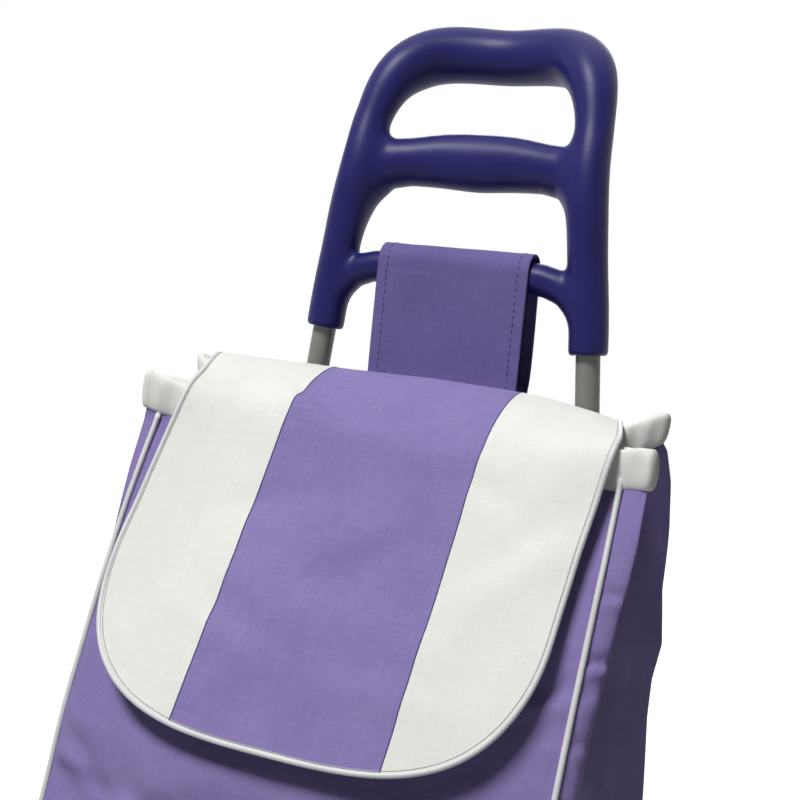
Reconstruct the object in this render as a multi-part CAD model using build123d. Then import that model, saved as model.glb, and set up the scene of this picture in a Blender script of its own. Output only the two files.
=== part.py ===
from build123d import *
import os
from math import atan2, cos, radians, sin, tan

# Upright shopping trolley: tube frame, moulded grip, fabric bag with a flap, two wheels.
# Sizes in mm, angles in degrees. +Z is up and the bag faces -Y.
# Shapes are drawn with Y measured from the plane of the two uprights.

# Fits
fit_gap = 0.05          # radial clearance of pins, tubes and bushes in their holes
soft_gap = 0.4          # clearance between fabric and the pieces beside it
side_gap = 0.3          # end clearance of the pieces on the axle

# Frame
tube_radius = 8.0
tube_wall = 1.2
tube_flare = 5.5        # lean of each upright from the vertical
rim_height = 715.0      # lower rim of the grip sleeves above the floor
rim_half_spacing = 96.0
sleeve_depth = 66.0
base_height = 100.0     # centre line of the base loop
base_length = 222.0     # uprights to the front run of the base loop
base_bend = 45.0
brace_radius = 6.0
brace_heights = (190.0, 470.0)
tab_thickness = 3.0
tab_height = 16.0
rivet_radius = 2.5
rivet_head_radius = 4.5
rivet_head = 2.0

# Axle brackets
socket_radius = 13.0
socket_low = 58.0
socket_high = 132.0
socket_floor = 8.0
boss_radius = 11.0
boss_reach = 50.0
boss_web = 3.0
boss_tail = 6.0         # axle boss inside the upright socket
boss_margin = 1.7       # axle boss beyond the upright socket

# Wheels
wheel_radius = 80.0
wheel_width = 30.0
wheel_setback = 22.0    # axle behind the uprights
axle_radius = 5.0
hub_radius = 16.0
hub_width = 34.0
washer_radius = 9.5
washer_thickness = 2.4
bush_radius = 7.5
tyre_depth = 14.0
tyre_round = 7.0
rim_thickness = 8.0
spoke_count = 6
spoke_thickness = 9.0
spoke_width = 18.0
nut_radius = 9.0
nut_thickness = 2.5
cap_radius = 20.0
cap_wall = 4.0
axle_stub = 2.0

# Base plate, saddles, legs
plate_thickness = 3.0
saddle_wall = 3.0
saddle_width = 14.0
saddle_flange = 16.0
saddle_rear_gap = 28.0  # rear saddles ahead of the bracket
saddle_bend_gap = 5.0   # front saddles behind the bend of the loop
saddle_screw_radius = 2.0
saddle_screw_head = 3.6
saddle_screw_head_height = 2.0
leg_half_spacing = 85.0
leg_clamp_wall = 4.5
leg_clamp_length = 30.0
leg_top_radius = 11.0
leg_tip_radius = 9.0
pad_radius = 13.0
pad_height = 14.0
pad_floor = 6.0

# Grip
sleeve_radius = 13.0
post_radius = 14.5
grip_radius = 19.0
grip_height = 200.0     # axis of the top bar above the sleeve rim
grip_lean = 27.0        # ends of the top bar behind the uprights
grip_bow = 25.0         # middle of the top bar behind its ends
grip_squareness = 3.5
bend_start = 95.0       # height at which the posts begin to bend
middle_height = 122.0
middle_drop = 12.0      # ends of the middle bar below its middle
middle_setback = 19.0
middle_end_setback = 7.0
middle_half_height = 19.0
middle_neck = 15.5      # half height at the narrowest place
middle_root = 31.0      # half height where the bar joins the posts
middle_half_depth = 15.0
middle_end_depth = 12.0
hanger_height = 50.0
hanger_radius = 10.5
hanger_drop = 14.0      # ends of the hanger bar below its middle
hanger_root = 22.0
grip_screw_height = 24.0
grip_screw_radius = 2.0
grip_screw_head_radius = 4.0
grip_screw_head = 2.4

# Bag
cloth = 2.5
bag_half_width = 166.0
bag_rear = -15.5        # back of the rear panel
bag_depth = 211.0
front_slope = 27.5      # lean of the upper front from the vertical
belly_radius = 300.0
hem_height = 23.0
hem_thickness = 7.0
hem_overlap = 2.0       # hem stands this far outside the panels
rear_drop = 27.0        # rear hem below the sleeve rim
front_drop = 60.0       # front hem below the sleeve rim
mouth_depth = 80.0
board_thickness = 3.0
board_inset = 5.0
piping_width = 4.0
piping_depth = 3.0
piping_inset = 13.0

# Strap
strap_width = 108.0
strap_cloth = 2.2
strap_end_drop = 105.0  # lower end of the strap below the sleeve rim
strap_seam = 34.0

# Flap
flap_half_width = 152.0
flap_stripe_half_width = 66.0
flap_lift_gap = 1.2     # flap above the hem
flap_overhang = 5.0     # fold in front of the hem
flap_slope = 28.5       # lean of the hanging part from the vertical
flap_straight = 126.0
flap_corner = 75.0
flap_crown = 9.0        # middle of the lower edge below the corner arcs
flap_piping_width = 3.5
flap_piping_depth = 4.5

# Values that follow from the sizes above
lean = tan(radians(tube_flare))
loop_radius = tube_radius + fit_gap


def upright_x(height):
    return rim_half_spacing + (rim_height - height) * lean


rail_half_width = upright_x(base_height)
socket_half = socket_radius / cos(radians(tube_flare))
axle_boss_inner = upright_x(wheel_radius) - socket_half - boss_tail
axle_boss_outer = upright_x(socket_low) + socket_half + boss_margin
wheel_centre = axle_boss_outer + washer_thickness + 2 * side_gap + hub_width / 2
hub_inner = wheel_centre - hub_width / 2
hub_outer = wheel_centre + hub_width / 2
rim_radius = wheel_radius - tyre_depth
nut_start = hub_outer + washer_thickness + 2 * side_gap
axle_half_length = nut_start + nut_thickness + axle_stub
plate_low = base_height + tube_radius + fit_gap
bag_low = plate_low + plate_thickness + soft_gap
wall_low = bag_low + cloth
rear_top = rim_height - rear_drop
front_top = rim_height - front_drop
mouth_rear = bag_rear + hem_overlap
mouth_front = mouth_rear - mouth_depth
front_face = mouth_front + hem_overlap
bag_front = bag_rear - bag_depth
hem_slope = (rear_top - front_top) / mouth_depth
front_reach = base_length + loop_radius + leg_clamp_wall
rear_reach = wheel_setback + wheel_radius
upright_y = (front_reach - rear_reach) / 2

os.makedirs("parts", exist_ok=True)


def save(name, shape):
    export_step(Pos(0, upright_y, 0) * shape, "parts/" + name + ".step")


def flip(shape):
    return mirror(shape, about=Plane.YZ)


def save_pair(name, right):
    save("right_" + name, right)
    save("left_" + name, flip(right))


def upright_plane(height):
    return Plane(origin=(upright_x(height), 0, height), x_dir=(0, 1, 0), z_dir=(-lean, 0, 1))


def upright_rod(radius, low, high):
    length = (high - low) / cos(radians(tube_flare))
    return extrude(upright_plane(low) * Circle(radius), length)


def rod_x(radius, start, end, y, z):
    plane = Plane(origin=(start, y, z), x_dir=(0, 1, 0), z_dir=(1, 0, 0))
    return extrude(plane * Circle(radius), end - start)


def rod_y(radius, start, end, x, z):
    plane = Plane(origin=(x, start, z), x_dir=(1, 0, 0), z_dir=(0, 1, 0))
    return extrude(plane * Circle(radius), end - start)


def rod_z(radius, start, end, x, y):
    return extrude(Plane(origin=(x, y, start)) * Circle(radius), end - start)


def block(x0, x1, y0, y1, z0, z1):
    return Pos((x0 + x1) / 2, (y0 + y1) / 2, (z0 + z1) / 2) * Box(x1 - x0, y1 - y0, z1 - z0)


def hem_low(y):
    return front_top - hem_height + (y - front_face) * hem_slope


def side_slab(face, x0, x1):
    return extrude(Plane(origin=(x0, 0, 0), x_dir=(0, 1, 0), z_dir=(1, 0, 0)) * face, x1 - x0)


# Grip: a bent loop, a bulged middle bar and an arched hanger bar in one moulding
def loop_station(turn):
    across = cos(radians(turn)) ** (2 / grip_squareness)
    rise = sin(radians(turn)) ** (2 / grip_squareness)
    x = upright_x(rim_height + bend_start) * across
    y = grip_lean * rise + grip_bow * (1 - across ** 2)
    z = rim_height + bend_start + (grip_height - bend_start) * rise
    return (x, y, z), post_radius + (grip_radius - post_radius) * rise ** 3


def post_station(height):
    z = rim_height + height
    return (upright_x(z), 0, z), sleeve_radius + (post_radius - sleeve_radius) * height / bend_start


def ring(point, along, half_depth, half_height):
    depth_dir = Vector(0, 1, 0) - along * along.Y
    plane = Plane(origin=point, x_dir=depth_dir.normalized(), z_dir=along)
    return plane * Ellipse(half_depth, half_height)


def bent_bar(stations):
    rings = []
    last = len(stations) - 1
    for index, (point, half_depth, half_height) in enumerate(stations):
        before = Vector(*stations[max(index - 1, 0)][0])
        after = Vector(*stations[min(index + 1, last)][0])
        rings.append(ring(point, (after - before).normalized(), half_depth, half_height))
    return loft(rings)


def cross_bar(stations):
    return loft([ring(point, Vector(1, 0, 0), depth, height) for point, depth, height in stations])


def mirrored(right_half):
    left_half = [((-p[0], p[1], p[2]), d, h) for p, d, h in right_half]
    return left_half + right_half[-2::-1]


post_stations = [post_station(bend_start * share) for share in (0.0, 0.33, 0.67)]
loop_stations = [loop_station(t) for t in (0.0, 12.0, 24.0, 36.0, 48.0, 60.0, 72.0, 82.0, 90.0)]
loop_half = [(p, r, r) for p, r in post_stations + loop_stations]
loop_half[0] = (loop_half[0][0], sleeve_radius, sleeve_radius)
grip_loop = bent_bar(mirrored(loop_half))

# Both bars swell and drop towards the posts; share is the distance from the middle over the reach
middle_reach = upright_x(rim_height + middle_height)
hanger_reach = upright_x(rim_height + hanger_height)
hanger_z = rim_height + hanger_height


def middle_station(share):
    flare = share ** 8
    waist = middle_half_height - (middle_half_height - middle_neck) * share ** 2
    y = middle_setback - (middle_setback - middle_end_setback) * share ** 2
    z = rim_height + middle_height - middle_drop * share ** 5
    depth = middle_half_depth - (middle_half_depth - middle_end_depth) * share ** 2
    return (middle_reach * share, y, z), depth, waist + (middle_root - middle_neck) * flare


def hanger_station(share):
    z = hanger_z - hanger_drop * share ** 4
    height = hanger_radius + (hanger_root - hanger_radius) * share ** 8
    return (hanger_reach * share, 0, z), hanger_radius, height


bar_shares = (1.0, 0.92, 0.84, 0.75, 0.6, 0.35, 0.0)
middle_half = [middle_station(share) for share in bar_shares]
hanger_half = [hanger_station(share) for share in bar_shares]
grip = grip_loop + cross_bar(mirrored(middle_half)) + cross_bar(mirrored(hanger_half))

screw_z = rim_height + grip_screw_height
screw_x = upright_x(screw_z)
grip_bore = upright_rod(tube_radius + fit_gap, rim_height - 5, rim_height + sleeve_depth)
screw_hole = rod_y(grip_screw_radius + fit_gap, -tube_radius, 2 * sleeve_radius, screw_x, screw_z)
for cutter in (grip_bore, screw_hole):
    grip = grip - cutter - flip(cutter)
save("handle", grip)

screw_seat = sleeve_radius + 1
grip_screw = rod_y(grip_screw_radius, -tube_radius + 0.5, screw_seat, screw_x, screw_z)
grip_screw += rod_y(grip_screw_head_radius, screw_seat, screw_seat + grip_screw_head, screw_x, screw_z)
save("handle_screws", Compound([grip_screw.solid(), flip(grip_screw).solid()]))

# Uprights, with holes for the grip screws and the brace rivets
upright_low = socket_low + socket_floor
upright_high = rim_height + sleeve_depth - 1
upright = upright_rod(tube_radius, upright_low, upright_high)
upright -= upright_rod(tube_radius - tube_wall, upright_low - 5, upright_high + 5)
upright -= screw_hole
for brace_z in brace_heights:
    upright -= rod_y(rivet_radius + fit_gap, -20, 20, upright_x(brace_z), brace_z)
save_pair("upright", upright)

# Cross braces: tube with flattened ends riveted behind the uprights
tab_front = tube_radius + fit_gap
tab_back = tab_front + tab_thickness
brace_y = (tab_front + tab_back) / 2
rivets = []
for brace_name, brace_z in zip(("lower_brace", "upper_brace"), brace_heights):
    reach = upright_x(brace_z)
    tube_end = reach - tube_radius - 2 * brace_radius
    brace = rod_x(brace_radius, -tube_end, tube_end, brace_y, brace_z)
    half_tab = tab_height / 2
    tab = block(tube_end - 6, reach + 9, tab_front, tab_back, brace_z - half_tab, brace_z + half_tab)
    rivet_hole = rod_y(rivet_radius + fit_gap, -20, 20, reach, brace_z)
    tab -= rivet_hole
    save(brace_name, brace + tab + flip(tab))
    rivet = rod_y(rivet_radius, -tab_front, tab_back, reach, brace_z)
    rivet += rod_y(rivet_head_radius, tab_back, tab_back + rivet_head, reach, brace_z)
    rivet += rod_y(rivet_head_radius, -tab_front - rivet_head, -tab_front, reach, brace_z)
    rivets += [rivet.solid(), flip(rivet).solid()]
save("brace_rivets", Compound(rivets))

# Axle brackets: sockets for the upright and the base loop, and a boss for the axle
bracket = upright_rod(socket_radius, socket_low, socket_high)
bracket += rod_y(boss_radius, -boss_reach, 0, rail_half_width, base_height)
bracket += rod_x(socket_radius, axle_boss_inner, axle_boss_outer, wheel_setback, wheel_radius)
bracket += block(
    upright_x(wheel_radius) - socket_radius + 3,
    upright_x(wheel_radius) + socket_radius - 3,
    0,
    wheel_setback,
    wheel_radius - socket_radius + 3,
    wheel_radius + socket_radius - 3,
)
bracket -= upright_rod(tube_radius + fit_gap, upright_low, socket_high + 5)
rail_end = -tube_radius - boss_web
bracket -= rod_y(tube_radius + fit_gap, -boss_reach - 5, rail_end, rail_half_width, base_height)
bracket -= rod_x(axle_radius + fit_gap, 0, axle_boss_outer + 5, wheel_setback, wheel_radius)
save_pair("axle_bracket", bracket)

# Axle with its washers and push nuts
axle = rod_x(axle_radius, -axle_half_length, axle_half_length, wheel_setback, wheel_radius)
save("axle", axle)


def axle_ring(radius, start, thickness):
    disc = rod_x(radius, start, start + thickness, wheel_setback, wheel_radius)
    hole = rod_x(axle_radius + fit_gap, start - 1, start + thickness + 1, wheel_setback, wheel_radius)
    return disc - hole


inner_washer = axle_ring(washer_radius, axle_boss_outer + side_gap, washer_thickness)
outer_washer = axle_ring(washer_radius, hub_outer + side_gap, washer_thickness)
washers = [w.solid() for w in (inner_washer, outer_washer, flip(inner_washer), flip(outer_washer))]
save("axle_washers", Compound(washers))
push_nut = axle_ring(nut_radius, nut_start, nut_thickness)
save("axle_push_nuts", Compound([push_nut.solid(), flip(push_nut).solid()]))

# Wheels: spoked rim, tyre, bush and cap on each side
wheel_axis = Axis((0, wheel_setback, wheel_radius), (1, 0, 0))


def turned(points):
    placed = [(x, wheel_setback, wheel_radius + r) for x, r in points]
    return revolve(make_face(Polyline(*placed, close=True)), wheel_axis)


rim_half = wheel_width / 2 - 1
rim_in = rim_radius - rim_thickness
rim_box = [(-rim_half, rim_in), (rim_half, rim_in), (rim_half, rim_radius), (-rim_half, rim_radius)]
wheel_rim = turned([(wheel_centre + x, r) for x, r in rim_box])
wheel_rim += rod_x(hub_radius, hub_inner, hub_outer, wheel_setback, wheel_radius)
for spoke in range(spoke_count):
    arm_middle = (hub_radius + rim_in) / 2
    arm = Pos(0, 0, arm_middle) * Box(spoke_width, spoke_thickness, rim_in - hub_radius + 6)
    wheel_rim += Pos(wheel_centre, wheel_setback, wheel_radius) * Rot(spoke * 360 / spoke_count, 0, 0) * arm
wheel_rim -= rod_x(bush_radius + fit_gap, hub_inner - 5, hub_outer + 5, wheel_setback, wheel_radius)
save_pair("wheel_rim", wheel_rim)

half_tyre = wheel_width / 2
tyre_in = rim_radius + fit_gap
tyre_box = [
    (-half_tyre, tyre_in),
    (half_tyre, tyre_in),
    (half_tyre, wheel_radius),
    (-half_tyre, wheel_radius),
]
tyre = turned([(wheel_centre + x, r) for x, r in tyre_box])
outer_edges = [e for e in tyre.edges() if abs(e.length - 2 * 3.14159265 * wheel_radius) < 1]
tyre = fillet(outer_edges, tyre_round)
save_pair("tyre", tyre)

bush = rod_x(bush_radius, hub_inner, hub_outer, wheel_setback, wheel_radius)
bush -= rod_x(axle_radius + fit_gap, hub_inner - 1, hub_outer + 1, wheel_setback, wheel_radius)
save_pair("wheel_bush", bush)

cap_end = axle_half_length + 3
cap = rod_x(cap_radius, hub_outer, cap_end + cap_wall, wheel_setback, wheel_radius)
cap_edges = [e for e in cap.edges() if abs(e.center().X - cap_end - cap_wall) < 0.01]
cap = fillet(cap_edges, cap_wall)
cap -= rod_x(hub_radius - 3, hub_outer - 1, cap_end, wheel_setback, wheel_radius)
save_pair("hub_cap", cap)

# Base loop: one tube bent to a U, its ends in the axle brackets
loop_end = rail_end - 1
loop_corners = [
    (-rail_half_width, loop_end, base_height),
    (-rail_half_width, -base_length, base_height),
    (rail_half_width, -base_length, base_height),
    (rail_half_width, loop_end, base_height),
]
loop_path = FilletPolyline(*loop_corners, radius=base_bend)
loop_plane = Plane(origin=loop_corners[0], x_dir=(1, 0, 0), z_dir=(0, -1, 0))
loop_solid = sweep(loop_plane * Circle(tube_radius), path=loop_path)
loop_hollow = sweep(loop_plane * Circle(tube_radius - tube_wall), path=loop_path)
save("base_loop", loop_solid - loop_hollow)

# Base plate on the loop
plate_half = rail_half_width + tube_radius
plate_back = -boss_reach - 2
plate_front = -base_length - tube_radius
plate_face = Pos(0, (plate_back + plate_front) / 2) * Rectangle(2 * plate_half, plate_back - plate_front)
plate_corners = plate_face.vertices().sort_by(Axis.Y)[:2]
plate_face = fillet(plate_corners, base_bend)
plate = extrude(Pos(0, 0, plate_low) * plate_face, plate_thickness)

# Saddles under the side rails, one screw each
def cradle(outer):
    rise = plate_low - base_height
    full = Circle(outer) + Pos(0, rise / 2) * Rectangle(2 * outer, rise)
    full -= Pos(0, rise + outer) * Rectangle(4 * outer, 2 * outer)
    return full - Circle(loop_radius) - Pos(0, rise) * Rectangle(2 * loop_radius, 2 * rise)


saddle_out = loop_radius + saddle_wall
flange_end = rail_half_width - saddle_out - saddle_flange
flange_mid = flange_end + saddle_flange / 2
seat = plate_low - saddle_wall
saddles = []
saddle_screws = []
saddle_rear = -boss_reach - saddle_rear_gap - saddle_width / 2
saddle_front = -base_length + base_bend + saddle_bend_gap + saddle_width / 2
for place in (saddle_rear, saddle_front):
    y0 = place - saddle_width / 2
    y1 = place + saddle_width / 2
    start = Plane(origin=(rail_half_width, y0, base_height), x_dir=(-1, 0, 0), z_dir=(0, 1, 0))
    saddle = extrude(start * cradle(saddle_out), saddle_width)
    saddle += block(flange_end, rail_half_width - loop_radius, y0, y1, seat, plate_low)
    hole = rod_z(saddle_screw_radius + fit_gap, plate_low - 20, plate_low + 20, flange_mid, place)
    saddle -= hole
    plate = plate - hole - flip(hole)
    screw = rod_z(saddle_screw_radius, seat, plate_low + plate_thickness, flange_mid, place)
    screw += rod_z(saddle_screw_head, seat - saddle_screw_head_height, seat, flange_mid, place)
    saddles += [saddle.solid(), flip(saddle).solid()]
    saddle_screws += [screw.solid(), flip(screw).solid()]
save("base_plate", plate)
save("base_saddles", Compound(saddles))
save("saddle_screws", Compound(saddle_screws))

# Front legs clamped on the front run, with rubber pads
clamp_start = leg_half_spacing - leg_clamp_length / 2
clamp_end = leg_half_spacing + leg_clamp_length / 2
clamp_plane = Plane(origin=(clamp_start, -base_length, base_height), x_dir=(0, 1, 0), z_dir=(1, 0, 0))
shaft_plane = Plane(origin=(leg_half_spacing, -base_length, pad_height))
shaft_top = Plane(origin=(leg_half_spacing, -base_length, base_height))
leg = loft([shaft_plane * Circle(leg_tip_radius), shaft_top * Circle(leg_top_radius)])
leg += rod_z(leg_tip_radius, pad_floor, pad_height, leg_half_spacing, -base_length)
leg -= rod_x(loop_radius, clamp_start - 1, clamp_end + 1, -base_length, base_height)
leg += extrude(clamp_plane * cradle(loop_radius + leg_clamp_wall), leg_clamp_length)
save_pair("front_leg", leg)
pad = rod_z(pad_radius, 0, pad_height, leg_half_spacing, -base_length)
pad -= rod_z(leg_tip_radius + fit_gap, pad_floor, pad_height + 1, leg_half_spacing, -base_length)
save_pair("foot_pad", pad)


# Bag: the front leans out from the mouth, turns through the belly and drops to the base
def front_line(outset):
    turn = radians(front_slope)
    centre_y = bag_front + belly_radius
    radius = belly_radius + outset
    run = (front_face - bag_front - belly_radius * (1 - cos(turn))) / tan(turn)
    top_z = front_top - hem_height
    centre_z = top_z - run - belly_radius * sin(turn)
    start = (centre_y - radius * cos(turn), centre_z + radius * sin(turn))
    top = (front_face - outset / cos(turn), top_z)
    middle = (centre_y - radius * cos(turn / 2), centre_z + radius * sin(turn / 2))
    side = (centre_y - radius, centre_z)
    foot = (centre_y - radius, wall_low)
    return [Line(top, start), ThreePointArc(start, middle, side), Line(side, foot)]


def band(outer, inner):
    far = front_line(outer)
    near = front_line(inner)
    ends = [Line(far[0] @ 0, near[0] @ 0), Line(far[2] @ 1, near[2] @ 1)]
    return make_face(far + near + ends)


save("bag_front_panel", side_slab(band(0, -cloth), -bag_half_width, bag_half_width))
rear_face = bag_rear - cloth
rear_wall_top = hem_low(rear_face)
save("bag_rear_panel", block(-bag_half_width, bag_half_width, rear_face, bag_rear, wall_low, rear_wall_top))
gusset_edge = front_line(0)
gusset_corner = (bag_rear, hem_low(bag_rear))
gusset_outline = gusset_edge + [
    Line(gusset_edge[2] @ 1, (bag_rear, wall_low)),
    Line((bag_rear, wall_low), gusset_corner),
    Line(gusset_corner, gusset_edge[0] @ 0),
]
save_pair("bag_gusset", side_slab(make_face(gusset_outline), bag_half_width, bag_half_width + cloth))
bag_out = bag_half_width + cloth
save("bag_bottom_panel", block(-bag_out, bag_out, bag_front, bag_rear, bag_low, wall_low))
board_half = bag_half_width - board_inset
board_low = wall_low + fit_gap
save("bag_floor_board", block(
    -board_half,
    board_half,
    bag_front + cloth + board_inset,
    rear_face - board_inset,
    board_low,
    board_low + board_thickness,
))

# Hem round the mouth
hem_in = bag_half_width - hem_overlap
hem_out = hem_in + hem_thickness
save("rear_hem", block(-hem_in, hem_in, mouth_rear - hem_thickness, mouth_rear, rear_wall_top, rear_top))
front_hem = block(
    -hem_in, hem_in, mouth_front, mouth_front + hem_thickness, front_top - hem_height, front_top
)
save("front_hem", front_hem)
side_hem = make_face(Polyline(
    (mouth_rear, hem_low(mouth_rear)),
    (mouth_rear, rear_top),
    (mouth_front, front_top),
    (mouth_front, hem_low(mouth_front)),
    close=True,
))
save_pair("side_hem", side_slab(side_hem, hem_in, hem_out))

# Piping down the front
piping_x = bag_half_width - piping_inset
half_piping = piping_width / 2
save_pair("front_piping", side_slab(band(piping_depth, 0), piping_x - half_piping, piping_x + half_piping))

# Strap: a loop of webbing over the hanger bar, sewn to the rear panel
strap_in = hanger_radius + soft_gap
strap_out = strap_in + strap_cloth
strap_end = rim_height - strap_end_drop
seam_top = strap_end + strap_seam
rear_bend = rim_height - rear_drop
strap_outline = [
    ThreePointArc((-strap_out, hanger_z), (0, hanger_z + strap_out), (strap_out, hanger_z)),
    Line((strap_out, hanger_z), (strap_out, rear_bend)),
    Line((strap_out, rear_bend), (-strap_out + 2 * strap_cloth, seam_top)),
    Line((-strap_out + 2 * strap_cloth, seam_top), (-strap_out, seam_top)),
    Line((-strap_out, seam_top), (-strap_out, hanger_z)),
]
strap_face = make_face(strap_outline)
strap_face -= offset(strap_face, -strap_cloth)
tail_front = bag_rear + fit_gap
tail_low = (tail_front + 2 * strap_cloth, strap_end)
tail = make_face(Polyline(
    (tail_front, strap_end),
    tail_low,
    (-strap_out + 2 * strap_cloth, seam_top),
    (-strap_out, seam_top),
    (tail_front, seam_top - strap_seam / 3),
    close=True,
))
strap = side_slab(strap_face, -strap_width / 2, strap_width / 2)
strap += side_slab(tail, -strap_width / 2, strap_width / 2)
save("strap", strap)

# Flap: a top part over the mouth and a hanging part in front, each in three stripes
hinge_y = mouth_rear - hem_thickness / 2
hinge_z = rear_top + flap_lift_gap * 2
fold_y = mouth_front - flap_overhang
fold_z = hinge_z - (hinge_y - fold_y) * hem_slope
top_run = Vector(0, fold_y - hinge_y, fold_z - hinge_z)
top_plane = Plane(origin=(0, hinge_y, hinge_z), x_dir=(1, 0, 0), z_dir=(0, top_run.Z, -top_run.Y))
hang = radians(flap_slope)
hang_plane = Plane(origin=(0, fold_y, fold_z), x_dir=(1, 0, 0), z_dir=(0, -cos(hang), sin(hang)))
half = flap_half_width


# Straight sides, a corner arc on each and a flat arc across the bottom, all tangent
def flap_outline(grow):
    side = flap_half_width + grow
    corner = flap_corner + grow
    inset = side - corner
    deep = corner + flap_crown
    bottom = (inset ** 2 + deep ** 2 - corner ** 2) / (2 * flap_crown)
    centre = bottom - deep - flap_straight
    turn = atan2(-flap_straight - centre, inset)
    touch = (bottom * cos(turn), centre + bottom * sin(turn))
    bend = (inset + corner * cos(turn / 2), corner * sin(turn / 2) - flap_straight)
    return make_face([
        Line((-side, -soft_gap), (side, -soft_gap)),
        Line((side, -soft_gap), (side, -flap_straight)),
        ThreePointArc((side, -flap_straight), bend, touch),
        ThreePointArc(touch, (0, -flap_straight - deep), (-touch[0], touch[1])),
        ThreePointArc((-touch[0], touch[1]), (-bend[0], bend[1]), (-side, -flap_straight)),
        Line((-side, -flap_straight), (-side, -soft_gap)),
    ])


outline = flap_outline(0)
stripe_edges = (-half, -flap_stripe_half_width, flap_stripe_half_width, half)
stripe_names = ("left", "centre", "right")
flap_length = flap_straight + flap_corner + flap_crown
for index, stripe in enumerate(stripe_names):
    x0 = stripe_edges[index]
    x1 = stripe_edges[index + 1]
    strip = Pos((x0 + x1) / 2, -flap_length / 2) * Rectangle(x1 - x0, 2 * flap_length)
    save("flap_front_" + stripe, extrude(hang_plane * (outline & strip), cloth))
    top_length = top_run.length - soft_gap
    panel = Pos((x0 + x1) / 2, -top_length / 2) * Rectangle(x1 - x0, top_length)
    save("flap_top_" + stripe, extrude(top_plane * panel, cloth))
piping_outline = flap_outline(flap_piping_width)
piping_lift = (cloth - flap_piping_depth) / 2
piping_plane = hang_plane.offset(piping_lift)
save("flap_piping", extrude(piping_plane * (piping_outline - outline), flap_piping_depth))
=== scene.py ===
import bpy
import math
import numpy as np
from mathutils import Matrix


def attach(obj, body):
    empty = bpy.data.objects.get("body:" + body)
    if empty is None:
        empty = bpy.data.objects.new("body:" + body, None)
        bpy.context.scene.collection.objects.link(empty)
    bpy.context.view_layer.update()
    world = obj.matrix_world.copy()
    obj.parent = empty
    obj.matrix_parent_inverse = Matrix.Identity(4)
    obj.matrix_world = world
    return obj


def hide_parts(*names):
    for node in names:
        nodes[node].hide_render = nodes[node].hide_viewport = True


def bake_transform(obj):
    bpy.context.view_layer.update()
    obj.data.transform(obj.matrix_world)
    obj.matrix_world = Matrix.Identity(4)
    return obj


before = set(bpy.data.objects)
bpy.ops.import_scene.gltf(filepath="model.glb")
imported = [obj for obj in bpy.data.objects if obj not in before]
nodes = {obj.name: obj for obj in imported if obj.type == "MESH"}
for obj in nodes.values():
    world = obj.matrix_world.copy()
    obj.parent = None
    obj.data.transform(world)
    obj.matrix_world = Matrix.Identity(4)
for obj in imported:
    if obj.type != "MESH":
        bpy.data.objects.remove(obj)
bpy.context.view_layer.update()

# Grip, bag, strap and flap are worked out in mm from the middle of the two sleeve rims:
# x to the right, y back from the uprights, z up.
rimPlace = np.array([0.0, 66.275, 715.0])


# meshes
def toRow(points):
    return (np.asarray(points, float) + rimPlace) * 0.001


def unit(v):
    return v / np.maximum(np.linalg.norm(v, axis=-1, keepdims=True), 1e-9)


def runAlong(points):
    return np.r_[0, np.cumsum(np.linalg.norm(np.diff(points, axis=0), axis=1))]


def runRound(points):
    # the same round a closed line, back to its first point
    return np.r_[0, np.cumsum(np.linalg.norm(np.roll(points, -1, 0) - points, axis=1))]


def readRows(at, places, rows):
    # every column of rows, known at places, read at other places
    return np.stack([np.interp(at, places, column) for column in rows.T], -1)


def bellCurve(half, width):
    return np.exp(-0.5 * (np.arange(-half, half + 1) / width) ** 2)


def softenRows(rows, bell):
    # average along the rows; past each end they go on as their mirror image through the end point
    half = len(bell) // 2
    before = 2 * rows[0] - rows[half:0:-1]
    after = 2 * rows[-1] - rows[-2:-half - 2:-1]
    padded = np.concatenate([before, rows, after])
    return np.stack([np.convolve(column, bell / bell.sum(), "valid") for column in padded.T], -1)


def smoothPath(points, count, soften, fine=1200, reach=2.5):
    # points spread evenly along a polyline, then averaged with a bell curve that is soften mm wide
    p = np.asarray(points, float)
    run = runAlong(p)
    s = np.linspace(0, run[-1], fine)
    half = max(int(round(reach * soften / (run[-1] / fine))), 1)
    soft = softenRows(readRows(s, run, p), bellCurve(half, half / reach))
    return readRows(np.linspace(0, run[-1], count), s, soft)


def ripple(a, b, seed, waves, count=7):
    # sum of sine waves at seeded directions and phases, between about -1 and 1
    rng = np.random.default_rng(seed)
    total = np.zeros(np.broadcast(a, b).shape)
    turns = rng.uniform(0, math.pi, count)
    sizes = rng.uniform(0.7, 1.5, count)
    phases = rng.uniform(0, 6.28, count)
    for turn, size, phase in zip(turns, sizes, phases):
        total = total + np.sin(2 * math.pi * size / waves * (a * math.cos(turn) + b * math.sin(turn)) + phase)
    return total / math.sqrt(count) / 1.4


def meshObject(name, verts, faces, uv=None):
    mesh = bpy.data.meshes.new(name)
    mesh.from_pydata(np.asarray(verts, float).tolist(), [], faces.tolist())
    if uv is not None:
        layer = mesh.uv_layers.new(name="cloth")
        layer.data.foreach_set("uv", uv.astype(np.float32).ravel())
    mesh.polygons.foreach_set("use_smooth", np.ones(len(mesh.polygons), bool))
    mesh.validate()
    mesh.update()
    obj = bpy.data.objects.new(name, mesh)
    bpy.context.scene.collection.objects.link(obj)
    return obj


def gridFaces(rows, cols, wrapRows=False, wrapCols=False):
    i = np.arange(rows if wrapRows else rows - 1)[:, None]
    j = np.arange(cols if wrapCols else cols - 1)[None, :]
    iNext = (i + 1) % rows
    jNext = (j + 1) % cols
    corners = (i * cols + j, iNext * cols + j, iNext * cols + jNext, i * cols + jNext)
    return np.stack(np.broadcast_arrays(*corners), -1).reshape(-1, 4)


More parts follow.
